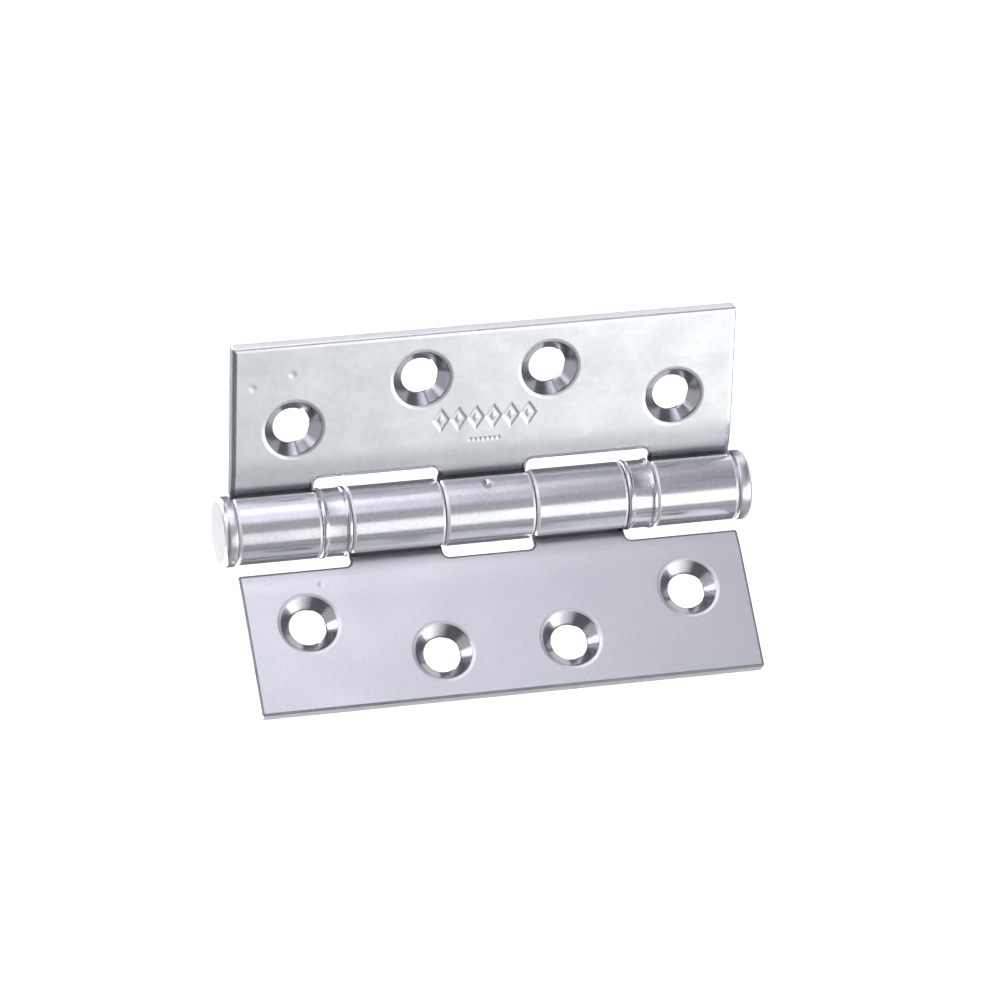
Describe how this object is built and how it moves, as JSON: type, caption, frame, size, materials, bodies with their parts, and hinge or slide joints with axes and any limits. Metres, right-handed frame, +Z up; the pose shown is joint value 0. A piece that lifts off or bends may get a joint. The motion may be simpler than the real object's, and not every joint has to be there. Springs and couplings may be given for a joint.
{
  "type": "door hinge",
  "caption": "Ball-bearing butt hinge: two countersunk steel leaves with rolled knuckles turn on a capped pin, with a thrust bearing ring at each end of the barrel.",
  "frame": {"origin": "on the pin's axis, half-way up the barrel", "axes": "+Z up along the pin as the hinge hangs on a door, +X from the pin to the free edge of the leaf fixed to the door frame, -Y out of that leaf's countersunk face"},
  "size_m": [0.0673, 0.0338, 0.1072],
  "materials": {
    "leaf": "satin stainless steel",
    "pin": "ground stainless steel",
    "cap": "satin stainless steel",
    "shell": "polished stainless steel",
    "race": "ground bearing steel",
    "cage": "pressed brass",
    "ball": "polished steel"
  },
  "bodies": {
    "frame_leaf": {"leaf_three_knuckle": "leaf", "hinge_pin": "pin", "top_end_cap": "cap", "bottom_end_cap": "cap", "top_bearing_shell": "shell", "top_bearing_fixed_race": "race", "bottom_bearing_shell": "shell", "bottom_bearing_fixed_race": "race"},
    "door_leaf": {"leaf_two_knuckle": "leaf", "top_bearing_turning_race": "race", "bottom_bearing_turning_race": "race"},
    "top_ball_set": {"top_bearing_ball_cage": "cage", "top_bearing_ball_01": "ball", "top_bearing_ball_02": "ball", "top_bearing_ball_03": "ball", "top_bearing_ball_04": "ball", "top_bearing_ball_05": "ball", "top_bearing_ball_06": "ball", "top_bearing_ball_07": "ball", "top_bearing_ball_08": "ball", "top_bearing_ball_09": "ball", "top_bearing_ball_10": "ball"},
    "bottom_ball_set": {"bottom_bearing_ball_cage": "cage", "bottom_bearing_ball_01": "ball", "bottom_bearing_ball_02": "ball", "bottom_bearing_ball_03": "ball", "bottom_bearing_ball_04": "ball", "bottom_bearing_ball_05": "ball", "bottom_bearing_ball_06": "ball", "bottom_bearing_ball_07": "ball", "bottom_bearing_ball_08": "ball", "bottom_bearing_ball_09": "ball", "bottom_bearing_ball_10": "ball"}
  },
  "joints": [
    {"name": "leaf_swing", "type": "hinge", "parent": "frame_leaf", "child": "door_leaf", "pos_m": [0, 0, 0], "axis": [0, 0, 1], "range_deg": [-166, 134]},
    {"name": "top_ball_set_spin", "type": "hinge", "parent": "frame_leaf", "child": "top_ball_set", "pos_m": [0, 0, 0.03075], "axis": [0, 0, 1], "range_deg": [-83, 67]},
    {"name": "bottom_ball_set_spin", "type": "hinge", "parent": "frame_leaf", "child": "bottom_ball_set", "pos_m": [0, 0, -0.03075], "axis": [0, 0, 1], "range_deg": [-83, 67]}
  ],
  "couplings": [
    {"joint": "top_ball_set_spin", "follows": "leaf_swing", "ratio": 0.5},
    {"joint": "bottom_ball_set_spin", "follows": "leaf_swing", "ratio": 0.5}
  ]
}
